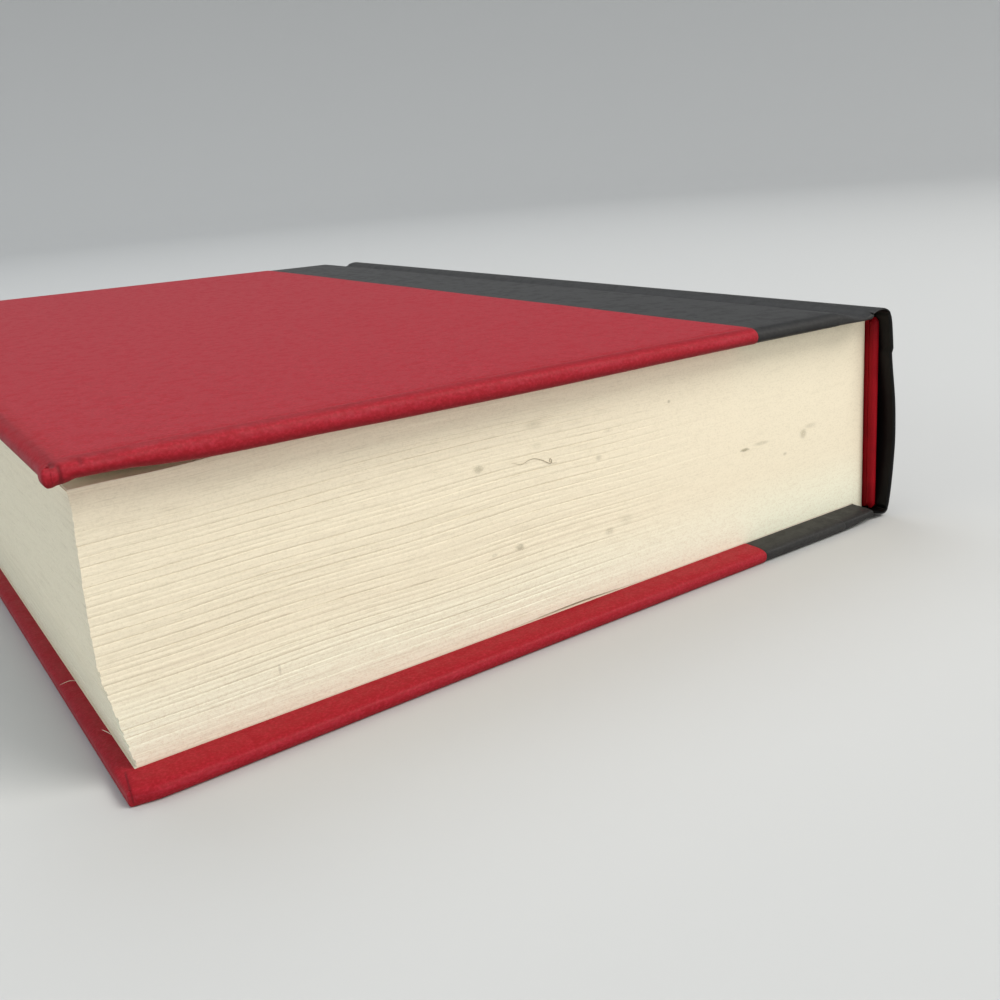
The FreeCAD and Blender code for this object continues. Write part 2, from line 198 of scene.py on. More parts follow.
# Rounds the edges of a flat cover at both ends and, as asked, at its fore-edge and its joint.
# outer and inner are each (reach over the face, height down the side).
def roundCover(points, low, high, plan, outer, inner, foreSide=True, jointSide=False):
    fromLow, fromHigh = points[:, 0] - low[0], high[0] - points[:, 0]
    farAway = np.full(len(points), 1e6)
    dx = np.minimum(fromLow if foreSide else farAway, fromHigh if jointSide else farAway)
    dy = high[1] - np.abs(points[:, 1])
    atJoint = (fromHigh < fromLow) & jointSide | (not foreSide)
    # the corners, seen from above
    a, b = np.clip((plan - dx) / plan, 0, 1), np.clip((plan - dy) / plan, 0, 1)
    length = np.maximum(np.hypot(a, b), 1e-9)
    atCorner = (a > 0) & (b > 0)
    squeeze = np.where(atCorner, np.maximum(a, b) / length, 1.0)
    newX = np.where(atCorner, plan - plan * a * squeeze, dx)
    newY = np.where(atCorner, plan - plan * b * squeeze, dy)
    normalX = np.where(atCorner, a / length, np.where(dx < dy, 1.0, 0.0))
    normalY = np.where(atCorner, b / length, np.where(dx < dy, 0.0, 1.0))
    # the edges, seen from the side
    inset = np.minimum(dx, dy)
    z = points[:, 2].copy()
    shift = np.zeros(len(points))
    for (reach, tall), edge, way in ((outer, high[2], 1), (inner, low[2], -1)):
        up = np.clip((tall - way * (edge - points[:, 2])) / tall, 0, 1)
        side = np.clip((reach - inset) / reach, 0, 1)
        touched = (up > 0) & (side > 0)
        squeeze = np.maximum(up, side) / np.maximum(np.hypot(up, side), 1e-9)
        shift = np.where(touched, reach - reach * side * squeeze - inset, shift)
        z = np.where(touched, edge - way * tall * (1 - up * squeeze), z)
    newX, newY = newX + normalX * shift, newY + normalY * shift
    x = np.where(atJoint, high[0] - newX, low[0] + newX)
    y = np.where(points[:, 1] > 0, 1.0, -1.0) * (high[1] - newY)
    return np.stack([x, y, z], axis=1), inset


def newGroup(name, inputs, outputs):
    group = bpy.data.node_groups.new(name, "ShaderNodeTree")
    for label, kind, value in inputs:
        socket = group.interface.new_socket(name=label, in_out="INPUT", socket_type="NodeSocket" + kind)
        if value is not None:
            socket.default_value = value
    for label, kind in outputs:
        group.interface.new_socket(name=label, in_out="OUTPUT", socket_type="NodeSocket" + kind)
    return group


class NodeWriter:
    def __init__(self, tree):
        self.tree = tree

    def add(self, kind, settings=None, **sockets):
        node = self.tree.nodes.new("ShaderNode" + kind)
        for label, value in (settings or {}).items():
            setattr(node, label, value)
        for label, value in sockets.items():
            self.put(node.inputs[label.replace("_", " ")], value)
        return node

    def put(self, socket, value):
        if isinstance(value, bpy.types.NodeSocket):
            self.tree.links.new(value, socket)
        else:
            socket.default_value = value

    def maths(self, operation, first, second=0.0, third=None):
        node = self.tree.nodes.new("ShaderNodeMath")
        node.operation = operation
        self.put(node.inputs[0], first)
        self.put(node.inputs[1], second)
        if third is not None:
            self.put(node.inputs[2], third)
        return node.outputs[0]

    def mix(self, share, first, second):
        node = self.tree.nodes.new("ShaderNodeMix")
        node.data_type = "RGBA"
        self.put(node.inputs["Factor"], share)
        self.put(node.inputs[6], first)
        self.put(node.inputs[7], second)
        return node.outputs[2]

    def ramp(self, value, low, high, outLow=0.0, outHigh=1.0):
        node = self.add("MapRange", {"clamp": True, "interpolation_type": "SMOOTHSTEP"})
        for label, number in (("Value", value), ("From Min", low), ("From Max", high),
                              ("To Min", outLow), ("To Max", outHigh)):
            self.put(node.inputs[label], number)
        return node.outputs["Result"]


def newMaterial(name, roughness, specular):
    material = bpy.data.materials.new(name)
    material.use_nodes = True
    shader = material.node_tree.nodes["Principled BSDF"]
    shader.inputs["Roughness"].default_value = roughness
    shader.inputs["Specular IOR Level"].default_value = specular
    return material, NodeWriter(material.node_tree), shader


# Fibres and flecks of a paper: a mask of the flecks, a height for bump and a slow mottling.
def paperGrain():
    group = newGroup("paperGrain", [
        ("Place", "Vector", None), ("Fleck Size", "Float", 1.0), ("Stretch", "Float", 1.0)],
        [("Flecks", "Float"), ("Height", "Float"), ("Mottle", "Float")])
    w = NodeWriter(group)
    start = group.nodes.new("NodeGroupInput").outputs
    end = group.nodes.new("NodeGroupOutput").inputs
    size = w.maths("DIVIDE", 1000.0, start["Fleck Size"])
    place = w.add("VectorMath", {"operation": "SCALE"}, Vector=start["Place"], Scale=size)
    stretched = w.add("VectorMath", {"operation": "MULTIPLY"})
    w.put(stretched.inputs[0], place.outputs[0])
    shape = w.add("CombineXYZ", X=start["Stretch"], Y=1.0, Z=1.0)
    w.put(stretched.inputs[1], shape.outputs[0])
    fine = w.add("TexNoise", Vector=stretched.outputs[0], Scale=1.0, Detail=4.0, Roughness=0.65)
    coarse = w.add("TexNoise", Vector=place.outputs[0], Scale=0.06, Detail=3.0, Roughness=0.6)
    cells = w.add("TexVoronoi", {"feature": "SMOOTH_F1"}, Vector=stretched.outputs[0], Scale=0.9)
    w.put(end["Flecks"], w.ramp(fine.outputs["Fac"], 0.42, 0.68))
    mixed = w.maths("MULTIPLY_ADD", cells.outputs["Distance"], 0.5, fine.outputs["Fac"])
    w.put(end["Height"], mixed)
    w.put(end["Mottle"], w.ramp(coarse.outputs["Fac"], 0.3, 0.7))
    return group


grainGroup = paperGrain()


def addGroup(w, group, **sockets):
    node = w.tree.nodes.new("ShaderNodeGroup")
    node.node_tree = group
    for label, value in sockets.items():
        w.put(node.inputs[label.replace("_", " ")], value)
    return node.outputs


def objectPlace(w):
    return w.add("TexCoord").outputs["Object"]


def attribute(w, label, output="Fac"):
    return w.add("Attribute", {"attribute_name": label}).outputs[output]


# Covering paper of the case: mottled, embossed, lighter where it is rubbed and where a sheen and a highlight
# are painted, darker where shade is painted.
def coverPaper(name, look):
    material, w, shader = newMaterial(name, look["roughness"], look["specular"])
    place = objectPlace(w)
    grain = addGroup(w, grainGroup, Place=place, Fleck_Size=look["fleck"], Stretch=look["stretch"])
    patches = addGroup(w, grainGroup, Place=place, Fleck_Size=look["patch"])
    colour = w.mix(grain["Flecks"], look["colour"], look["fleckColour"])
    colour = w.mix(w.maths("MULTIPLY", patches["Flecks"], look["mottle"]), colour, look["mottleColour"])
    chance = w.add("TexNoise", Vector=place, Scale=1500.0, Detail=2.0)
    # real rubbing together with a painted sheen and a painted highlight
    rubAndSheen = w.maths("MULTIPLY", attribute(w, "rubAndSheen"), w.ramp(chance.outputs["Fac"], 0.3, 0.7, 0.25, 1.0))
    colour = w.mix(w.maths("MULTIPLY", rubAndSheen, look["rubAndSheen"]), colour, look["rubAndSheenColour"])
    # painted shade
    colour = w.mix(attribute(w, "paintedShade"), colour, look["paintedShadeColour"])
    w.put(shader.inputs["Base Color"], colour)
    rough = w.ramp(patches["Flecks"], 0.0, 1.0, look["roughness"], look["roughness"] + 0.1)
    w.put(shader.inputs["Roughness"], rough)
    relief = w.add("Bump", Strength=look["bump"], Distance=look["bumpDepth"] / 1000, Height=grain["Height"])
    w.put(shader.inputs["Normal"], relief.outputs["Normal"])
    return material


# fleck and patch are sizes and bumpDepth a height, all in millimetres
redLook = {
    "colour": (0.295, 0.002, 0.009, 1), "fleckColour": (0.40, 0.010, 0.024, 1),
    "fleck": 0.42, "stretch": 0.9, "patch": 2.2,
    "mottle": 0.1, "mottleColour": (0.33, 0.003, 0.011, 1),
    "rubAndSheen": 0.4, "rubAndSheenColour": (0.50, 0.055, 0.085, 1), "paintedShadeColour": (0.15, 0.001, 0.005, 1),
    "roughness": 0.55, "specular": 0.23, "bump": 0.7, "bumpDepth": 0.05,
}
blackLook = {
    "colour": (0.021, 0.0205, 0.0205, 1), "fleckColour": (0.031, 0.030, 0.029, 1),
    "fleck": 0.5, "stretch": 0.8, "patch": 3.0,
    "mottle": 0.2, "mottleColour": (0.021, 0.0205, 0.020, 1),
    "rubAndSheen": 0.25, "rubAndSheenColour": (0.10, 0.10, 0.095, 1), "paintedShadeColour": (0.0015, 0.0015, 0.0015, 1),
    "roughness": 0.48, "specular": 0.22, "bump": 0.35, "bumpDepth": 0.03,
}
redPaper = coverPaper("redPaper", redLook)
blackPaper = coverPaper("blackPaper", blackLook)


def plainPaper(name, colour, darker, fleck, roughness, bump=0.3, depth=0.04):
    material, w, shader = newMaterial(name, roughness, 0.3)
    grain = addGroup(w, grainGroup, Place=objectPlace(w), Fleck_Size=fleck)
    tone = w.mix(w.maths("MULTIPLY", grain["Flecks"], 0.5), colour, darker)
    tone = w.mix(w.maths("MULTIPLY", grain["Mottle"], 0.5), tone, darker)
    w.put(shader.inputs["Base Color"], tone)
    relief = w.add("Bump", Strength=bump, Distance=depth / 1000, Height=grain["Height"])
    w.put(shader.inputs["Normal"], relief.outputs["Normal"])
    return material


endpaper = plainPaper("endpaper", (0.80, 0.73, 0.58, 1), (0.76, 0.68, 0.53, 1), 0.8, 0.75)
boardCard = plainPaper("boardCard", (0.28, 0.26, 0.22, 1), (0.20, 0.18, 0.15, 1), 1.5, 0.9, 0.6, 0.1)
kraftPaper = plainPaper("kraftPaper", (0.42, 0.27, 0.14, 1), (0.34, 0.21, 0.10, 1), 1.2, 0.8)


def gauzeWeave():
    material, w, shader = newMaterial("gauzeWeave", 0.9, 0.2)
    place = objectPlace(w)
    warp = w.add("TexWave", {"bands_direction": "Y"}, Vector=place, Scale=320.0, Distortion=0.4)
    weft = w.add("TexWave", {"bands_direction": "Z"}, Vector=place, Scale=320.0, Distortion=0.4)
    weave = w.maths("MAXIMUM", warp.outputs["Fac"], weft.outputs["Fac"])
    w.put(shader.inputs["Base Color"], w.mix(weave, (0.45, 0.40, 0.30, 1), (0.80, 0.76, 0.66, 1)))
    relief = w.add("Bump", Strength=0.6, Distance=0.0002, Height=weave)
    w.put(shader.inputs["Normal"], relief.outputs["Normal"])
    return material


gauze = gauzeWeave()

pageLook = {
    "paper": (0.90, 0.81, 0.63, 1), "line": (0.50, 0.42, 0.29, 1), "fine": (0.75, 0.665, 0.50, 1),
    "footLight": (0.94, 0.93, 0.755, 1), "footLightUpTo": 15.0,  # painted light: the last leaves, low down, are painted lighter
    "streaks": (0.32, 0.04), "dashes": (0.34, 0.10),  # strength near the fore-edge and near the spine
    "clouds": 0.25, "specks": 0.6, "headDepth": (-112.0, -109.0),
    "glueAndShadeFrom": 77.0, "glueAndShadeTo": 79.2, "glueAndShade": 0.55,  # the glued edge next to the headband, darker also with painted shade by the spine
    "mark": (0.40, 0.35, 0.24, 1), "markStrength": 1.4, "markRagged": 2.8,
}
# Smudges on the head of the pages: place along the block, height, half length, half height, strength.
smudges = (
    (-17.8, 32.1, 1.2, 0.7, 0.45), (-11.0, 17.0, 1.0, 0.7, 0.5), (-16.2, 17.1, 0.7, 0.3, 0.3),
    (43.2, 22.6, 1.3, 0.4, 0.75), (47.8, 23.2, 2.4, 0.5, 0.3), (59.9, 22.7, 1.1, 1.2, 0.4),
    (62.0, 24.0, 2.0, 0.6, 0.22), (8.6, 14.7, 1.2, 0.8, 0.3), (12.7, 15.9, 1.8, 1.2, 0.15),
    (7.0, 29.0, 0.8, 0.6, 0.3), (-6.4, 37.4, 2.0, 0.9, 0.2), (-6.0, 33.7, 1.2, 0.7, 0.15),
    (23.8, 36.0, 0.4, 0.35, 0.5), (-56.0, 9.9, 0.25, 1.1, 0.3), (9.5, 33.5, 1.2, 0.5, 0.15),
    (54.5, 19.5, 0.6, 0.4, 0.35),
)


# Cut edges of the leaves: fine layers that run along the block, painted shade in the gaps, painted light low
# down, painted shade by the spine next to the glued edge, and smudges.
def pageEdges():
    material, w, shader = newMaterial("pageEdges", 0.9, 0.1)
    place = attribute(w, "leafPlace", "Vector")
    split = w.add("SeparateXYZ", Vector=place).outputs
    atFore = attribute(w, "fore")

    def noise(scale, detail, roughness):
        stretch = w.add("VectorMath", {"operation": "MULTIPLY"})
        w.put(stretch.inputs[0], place)
        stretch.inputs[1].default_value = scale
        chance = w.add("TexNoise", Vector=stretch.outputs[0], Scale=1.0, Detail=detail, Roughness=roughness)
        return chance.outputs["Fac"]

    def times(first, second):
        return w.maths("MULTIPLY", first, second)

    layers = noise((0.045, 0.045, 4.6), 3.0, 0.7)
    clouds = noise((0.22, 0.22, 0.8), 4.0, 0.65)
    specks = noise((2.3, 2.3, 3.6), 4.0, 0.75)
    dashes = noise((0.14, 0.14, 6.0), 3.0, 0.65)
    broken = w.ramp(noise((0.7, 0.7, 1.2), 3.0, 0.7), 0.38, 0.58, 0.4, 1.0)
    # painted light: the paper is painted lighter towards the foot of the block, less so on the fore-edge
    low = w.ramp(split["Z"], 1.0, pageLook["footLightUpTo"], 1.0, 0.0)
    colour = w.mix(times(low, w.ramp(atFore, 0.0, 1.0, 1.0, 0.3)), pageLook["paper"], pageLook["footLight"])
    streaks = w.ramp(split["X"], -30.0, 40.0, *pageLook["streaks"])
    streaks = times(streaks, w.ramp(atFore, 0.0, 1.0, 1.0, 0.2))
    colour = w.mix(times(w.ramp(layers, 0.44, 0.62), streaks), colour, pageLook["fine"])
    colour = w.mix(w.ramp(clouds, 0.52, 0.72, 0.0, pageLook["clouds"]), colour, pageLook["fine"])
    colour = w.mix(w.ramp(specks, 0.46, 0.68, 0.0, pageLook["specks"]), colour, pageLook["fine"])
    dashShare = w.ramp(split["X"], -10.0, 60.0, *pageLook["dashes"])
    colour = w.mix(times(w.ramp(dashes, 0.57, 0.70), dashShare), colour, pageLook["line"])
    # painted shade in the gaps between groups of leaves
    colour = w.mix(times(attribute(w, "gap"), broken), colour, pageLook["line"])

    atHead = w.ramp(split["Y"], *pageLook["headDepth"], 1.0, 0.0)
    # the glued edge by the spine, darker also with painted shade
    glueAndShade = w.ramp(split["X"], pageLook["glueAndShadeFrom"], pageLook["glueAndShadeTo"], 0.0, pageLook["glueAndShade"])
    colour = w.mix(times(glueAndShade, atHead), colour, pageLook["line"])
    ragged = times(w.maths("SUBTRACT", specks, 0.5), pageLook["markRagged"])
    marks = 0.0
    for x, z, halfLong, halfTall, strength in smudges:
        aside = w.maths("DIVIDE", w.maths("SUBTRACT", split["X"], x), halfLong)
        above = w.maths("DIVIDE", w.maths("SUBTRACT", split["Z"], z - 3.0), halfTall)
        far = w.maths("SQRT", w.maths("ADD", times(aside, aside), times(above, above)))
        spot = w.ramp(w.maths("ADD", far, ragged), 0.45, 1.1, strength * pageLook["markStrength"], 0.0)
        marks = w.maths("MAXIMUM", marks, spot)
    marks = times(marks, w.ramp(specks, 0.36, 0.55, 0.5, 1.0))
    colour = w.mix(times(marks, atHead), colour, pageLook["mark"])
    w.put(shader.inputs["Base Color"], colour)
    relief = w.add("Bump", Strength=0.5, Distance=0.00006, Height=specks)
    w.put(shader.inputs["Normal"], relief.outputs["Normal"])
    return material


pagePaper = pageEdges()
hairLook = plainPaper("hairLook", (0.36, 0.30, 0.20, 1), (0.28, 0.23, 0.16, 1), 0.3, 0.6)


bandLook = {"dark": (0.235, 0.0015, 0.006, 1), "light": (0.345, 0.004, 0.010, 1)}


def bandCloth():  # plain glazed cloth, so its threads hardly show
    material, w, shader = newMaterial("bandCloth", 0.55, 0.12)
    place = objectPlace(w)
    threads = w.add("TexWave", {"bands_direction": "Z"}, Vector=place, Scale=900.0, Distortion=1.0)
    slow = w.add("TexNoise", Vector=place, Scale=180.0, Detail=2.0)
    tone = w.maths("MULTIPLY_ADD", threads.outputs["Fac"], 0.15, slow.outputs["Fac"])
    w.put(shader.inputs["Base Color"], w.mix(w.ramp(tone, 0.3, 0.8), bandLook["dark"], bandLook["light"]))
    relief = w.add("Bump", Strength=0.2, Distance=0.00004, Height=threads.outputs["Fac"])
    w.put(shader.inputs["Normal"], relief.outputs["Normal"])
    return material


headbandCloth = bandCloth()
print("materials made")

# Covers are worked out flat: x from the hinge line, negative towards the fore-edge, and z outwards.
backPaperLow, backPaperHigh = boxMm("back_side_paper")
backStripHigh = boxMm("back_spine_strip")[1]
backSheetLow, backSheetHigh = boxMm("back_pastedown")
backHinge, frontHinge = hinges["back_cover"], hinges["front_cover"]
cover = {
    "foreX": backPaperLow.x - backHinge.x, "seamX": backPaperHigh.x - backHinge.x,
    "edgeX": backStripHigh.x - backHinge.x, "halfY": backPaperHigh.y,
    "inner": backHinge.z - backPaperHigh.z, "outer": backHinge.z - backPaperLow.z,
    "grid": (0.25, 2.6, 1.3), "layers": 12, "planRound": 0.45,
    "outerRound": {"front": (2.4, 1.45), "back": (0.5, 0.6)},
    "innerRound": {"front": (1.3, 1.2), "back": (2.0, 0.8)},
    "overlap": 5.0, "blackDown": 0.13, "blackRound": 1.1, "turnIn": 15.0, "boardMargin": 0.9,
    "bulge": 0.6, "splay": 0.55,
}


def placeFront(p):
    x, y, z = p[:, 0], p[:, 1], p[:, 2]
    c, s = math.cos(frontSlope), math.sin(frontSlope)
    return np.stack([frontHinge.x + x * c + z * s, y, frontHinge.z - x * s + z * c], axis=1)


def placeBack(p):
    return np.stack([backHinge.x + p[:, 0], p[:, 1], backHinge.z - p[:, 2]], axis=1)


# The back cover's near side bulges, more towards the fore-edge corner.
def headBulge(p):
    fromFore, fromHead = p[:, 0] - cover["foreX"], p[:, 1] + cover["halfY"]
    out = cover["bulge"] * bump(p[:, 2], 1.3, 1.5) + cover["splay"] * (1 - smoothStep(5, 60, fromFore))
    return out * (1 - smoothStep(0, 2.0, fromHead)) * smoothStep(-1, 5, fromFore)


coverWear = {
    "pressAt": 2.5, "pressWide": 0.6, "pressDeep": 0.11,  # the line pressed along the outside edges
    # the face strength is a painted sheen on the outer face; the band width is for rubbing with a painted
    # highlight on the side
    "faceWave": 0.07, "sideBulge": 0.10, "rubAndHighlightWide": 0.32, "faceSheen": 0.3,
    # a band of painted shade along the rounding of the outer edge
    "shadeBandAt": 1.45, "shadeBandWide": 0.75, "shadeBandStrong": 0.5,
}


# Wears both covers alike. Gives back the worn points, how rubbed each one is with painted sheen and
# painted highlight added, how much painted shade it gets, and how far it is from the fore-edge and from the
# head.
def wearCover(p, inset, rubAndHighlightHeight, seed):
    out = p.copy()
    fromFore, fromHead = p[:, 0] - cover["foreX"], p[:, 1] + cover["halfY"]
    along = np.where(fromFore < cover["halfY"] - np.abs(p[:, 1]), p[:, 1], p[:, 0])
    uneven = 0.6 + 0.4 * waves(seed, (23, 11, 41), along)
    outside = smoothStep(1.9, 2.7, p[:, 2])
    pressed = bump(inset, coverWear["pressAt"], coverWear["pressWide"])
    out[:, 2] -= outside * coverWear["pressDeep"] * uneven * pressed
    faceWave = coverWear["faceWave"] * waves(seed + 1, (61, 83, 47), p[:, 0], p[:, 1])
    out[:, 2] += outside * faceWave * smoothStep(2, 14, inset)
    bulge = coverWear["sideBulge"] * uneven * bump(p[:, 2], 1.45, 0.9) * (1 - smoothStep(0.2, 2.5, inset))
    out[:, 1] += np.sign(p[:, 1]) * bulge * (fromFore > 1)
    fromEdge = np.minimum(np.minimum(fromHead, cover["halfY"] - p[:, 1]), fromFore)
    # rubbed band on the side bulge, also a painted highlight
    rubAndSheen = bump(p[:, 2], rubAndHighlightHeight, coverWear["rubAndHighlightWide"]) * (1 - smoothStep(0.5, 1.6, inset)) * uneven
    # painted sheen on the outer face
    rubAndSheen = np.maximum(rubAndSheen, coverWear["faceSheen"] * outside * smoothStep(2.6, 5, inset))
    # painted shade: a dark band where the outer edge rounds away from the light
    paintedShade = coverWear["shadeBandStrong"] * smoothStep(2.2, 2.6, p[:, 2]) * (0.5 + uneven / 2)
    paintedShade = paintedShade * bump(fromEdge, coverWear["shadeBandAt"], coverWear["shadeBandWide"])
    return out, rubAndSheen, paintedShade, fromFore, fromHead


# Front cover: its near corner is bumped, and the paper is folded double under it and pinched.
cornerFold = {
    "doubledFrom": 2.4, "doubledTo": 2.8, "hang": 0.3, "doubledHang": 0.35, "pushOut": 0.32, "pinchAt": 1.9,
}
# Pinches beside it: place from the fore-edge, strength, height, width.
pinches = ((1.2, 0.95, 2.5, 0.55), (4.6, 0.65, 2.35, 0.4), (8.4, 0.45, 2.2, 0.6))
# How far the turned paper hangs below the board, at places from the fore-edge.
hangLine = curveThrough([
    (0, 0.35), (1.5, 0.45), (2.6, 0.3), (3.8, 0), (5.5, -0.25), (7.8, -0.25), (10, 0), (12.7, 0.25),
    (18.6, 0.65), (25, 0.75), (38, 0.7), (50, 0.8), (77, 0.75), (117, 0.3), (157, 0.1)], 6)


def wearFront(p, inset):
    out, rubAndSheen, paintedShade, fromFore, fromHead = wearCover(p, inset, 1.75, 3)
    hang = np.interp(fromFore, hangLine[:, 0], hangLine[:, 1]) * (1 - smoothStep(1.6, 4.7, fromHead))
    doubled = 1 - smoothStep(cornerFold["doubledFrom"], cornerFold["doubledTo"], fromHead)
    atFore = (cornerFold["hang"] + cornerFold["doubledHang"] * doubled) * (1 - smoothStep(0.8, 2.3, fromFore))
    out[:, 2] -= np.maximum(hang, atFore) * (1 - smoothStep(0.6, 2.3, p[:, 2]))
    pushed = (1 - smoothStep(0.4, 1.5, fromFore)) * (1 - smoothStep(2.0, 2.8, p[:, 2]))
    out[:, 0] -= cornerFold["pushOut"] * doubled * pushed
    atHead = 1 - smoothStep(0.8, 2.2, fromHead)
    # painted shade on the lower part of the side, where it turns under
    paintedShade = paintedShade + 0.6 * (1 - smoothStep(0.7, 1.5, p[:, 2])) * (1 - smoothStep(0, 2, inset))
    # the pinches are dented, with painted shade in the dents
    pinch = bump(fromFore, cornerFold["pinchAt"], 0.26) * (1 - smoothStep(2.2, 2.6, p[:, 2])) * atHead
    paintedShade = paintedShade + 0.9 * pinch
    out[:, 1] += 0.13 * pinch
    for x, strength, z, width in pinches:
        spot = bump(fromFore, x, width) * bump(p[:, 2], z, 0.35) * atHead
        paintedShade = paintedShade + strength * spot
        out[:, 2] -= 0.22 * strength * spot
    return out, rubAndSheen, np.clip(paintedShade, 0, 1)


# Back cover: the head flap's folded end shows as a short line at the corner, a small step with painted shade
# along it.
def wearBack(p, inset):
    out, rubAndSheen, paintedShade, fromFore, fromHead = wearCover(p, inset, 1.25, 9)
    foldLine = fromFore - 0.55 - 0.14 * fromHead
    corner = (1 - smoothStep(4.5, 6.0, fromHead)) * (1 - smoothStep(1.9, 2.6, p[:, 2]))
    # painted shade along the folded end
    paintedShade = paintedShade + 0.8 * corner * bump(foldLine, 0, 0.16)
    flap = corner * smoothStep(-0.08, 0.08, foldLine)
    out[:, 2] -= 0.10 * flap * (1 - smoothStep(0.4, 1.5, p[:, 2]))
    out[:, 1] -= 0.08 * flap * (1 - smoothStep(0.5, 1.5, inset))
    out[:, 1] -= headBulge(p)
    out[:, 2] = np.minimum(out[:, 2], cover["outer"])  # nothing below the table
    return out, rubAndSheen, np.clip(paintedShade, 0, 1)


def nearCornerLines(lines, low, step, reach):  # extra lines where the corner's creases are
    return np.unique(np.round(np.concatenate([lines, low + np.arange(0, reach, step)]), 4))


def makeRedPaper(side, body, place, wear):  # from the fore-edge to the seam
    low = (cover["foreX"], -cover["halfY"], cover["inner"])
    high = (cover["seamX"], cover["halfY"], cover["outer"])
    xs = nearCornerLines(gridLines(low[0], high[0], *cover["grid"]), low[0], 0.2, 6)
    ys = nearCornerLines(gridLines(low[1], high[1], *cover["grid"]), low[1], 0.25, 7)
    points, faces = boxShell(xs, ys, np.linspace(low[2], high[2], cover["layers"]))
    points, inset = roundCover(points, low, high, cover["planRound"], cover["outerRound"][side],
                               cover["innerRound"][side])
    points, rubAndSheen, paintedShade = wear(points, inset)
    # painted highlight along the raised cut edge of the red paper at the seam
    rubAndSheen = np.maximum(rubAndSheen, 0.9 * bump(points[:, 0], cover["seamX"], 0.2))
    red = makePiece(side + "RedPaper", place(points), faces, redPaper,
                    attributes={"rubAndSheen": rubAndSheen, "paintedShade": paintedShade})
    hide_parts(side + "_side_paper")
    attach(red, body)


def makeBlackPaper(side, body, place, wear):  # the spine strip, which runs on under the red paper
    down = cover["blackDown"]
    low = (cover["seamX"] - cover["overlap"], -cover["halfY"] + down, cover["inner"] + down * 0.5)
    high = (cover["edgeX"], cover["halfY"] - down, cover["outer"] - down)
    reach, tall = cover["outerRound"][side]
    xs = gridLines(low[0], high[0], *cover["grid"], fineLow=False)
    xs = np.unique(np.concatenate([xs, cover["seamX"] + np.array([0.0, 0.15, 0.3, 0.45, 0.7])]))
    ys = gridLines(low[1], high[1], *cover["grid"])
    points, faces = boxShell(xs, ys, np.linspace(low[2], high[2], cover["layers"]))
    points, inset = roundCover(points, low, high, cover["blackRound"], (reach, tall - 0.1),
                               cover["innerRound"][side], foreSide=False, jointSide=True)
    points, rubAndSheen, paintedShade = wear(points, inset)
    # painted shadow of the red paper's edge on the black strip beside the seam
    paintedShade = np.maximum(paintedShade, 0.85 * bump(points[:, 0], cover["seamX"], 0.4))
    black = makePiece(side + "BlackPaper", place(points), faces, blackPaper,
                      attributes={"rubAndSheen": rubAndSheen, "paintedShade": paintedShade})
    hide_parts(side + "_spine_strip")
    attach(black, body)


def makeBoard(side, body, place):  # inside the papers
    margin = cover["boardMargin"]
    low = (cover["foreX"] + margin, -cover["halfY"] + margin, cover["inner"] + 0.4)
    high = (cover["edgeX"] - margin, cover["halfY"] - margin, cover["outer"] - 0.55)
    points, faces = boxShell(gridLines(low[0], high[0], 0.5, 6), gridLines(low[1], high[1], 0.5, 6),
                             np.linspace(low[2], high[2], 5))
    points, inset = roundCover(points, low, high, 0.8, (1.6, 1.0), (0.5, 0.4), jointSide=True)
    board = makePiece(side + "Board", place(points), faces, boardCard)
    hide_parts(side + "_board")
    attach(board, body)


def makePastedown(side, body, place):  # the edge of the turned-in paper shows through it
    halfY, turnIn = cover["halfY"], cover["turnIn"]
    turned = np.array([-0.9, -0.3, 0.3, 0.9])
    xs = gridLines(backSheetLow.x - backHinge.x, cover["edgeX"], 0.5, 3)
    xs = np.unique(np.concatenate([xs, cover["foreX"] + turnIn + turned]))
    ys = gridLines(backSheetLow.y, backSheetHigh.y, 0.5, 3)
    ys = np.unique(np.concatenate([ys, turnIn - halfY + turned, halfY - turnIn + turned]))
    points, faces = boxShell(xs, ys, np.array([0.0, cover["inner"] + 0.05]))
    inFromEdge = np.minimum(points[:, 0] - cover["foreX"], halfY - np.abs(points[:, 1]))
    points[:, 2] += 0.08 * smoothStep(turnIn - 0.8, turnIn + 0.8, inFromEdge)
    sheet = makePiece(side + "Pastedown", place(points), faces, endpaper)
    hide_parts(side + "_pastedown")
    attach(sheet, body)


def makeCover(side, place, wear):
    body = side + "_cover"
    makeRedPaper(side, body, place, wear)
    makeBlackPaper(side, body, place, wear)
    makeBoard(side, body, place)
    makePastedown(side, body, place)


makeCover("front", placeFront, wearFront)
makeCover("back", placeBack, wearBack)
print("covers made")

blockLow, blockHigh = boxMm("text_block")
leafLow, leafHigh = boxMm("back_flyleaf")
pages = {
    "foreBottomX": leafLow.x, "foreLean": 1.2, "spineBottomX": leafHigh.x,
    "spineTopX": boxMm("front_flyleaf")[1].x, "bottom": leafHigh.z,
    # the fore-edge: share of the height and place, the drop: place from the fore-edge and depth
    "foreLine": [(0, 0), (0.18, -1.1), (0.36, -2.12), (0.55, -2.1), (0.78, -1.53), (0.95, -1.1), (1, -1.3)],
    "topDrop": [(0, 2.15), (4.9, 2.02), (10.8, 2.0), (17, 1.75), (24, 1.2), (32, 0.6), (41, 0.12), (50, 0)],
    "sagFrom": backHinge.x + 0.4, "sag": leafHigh.z - blockLow.z + 0.25,
    "groupThick": (0.62, 0.84), "edgeGap": 0.12, "gapDepth": 0.10, "wave": 0.42, "spineRound": 0.45,
    "headColumns": 110, "foreColumns": 56,
}
liftedLeaf = {"x": 0.5, "width": 9.0, "height": 0.42, "reach": 5.0}
foreLine = curveThrough(pages["foreLine"], 8)
topDrop = curveThrough(pages["topDrop"], 8)  # the top leaves fall away from the cover at the fore-edge


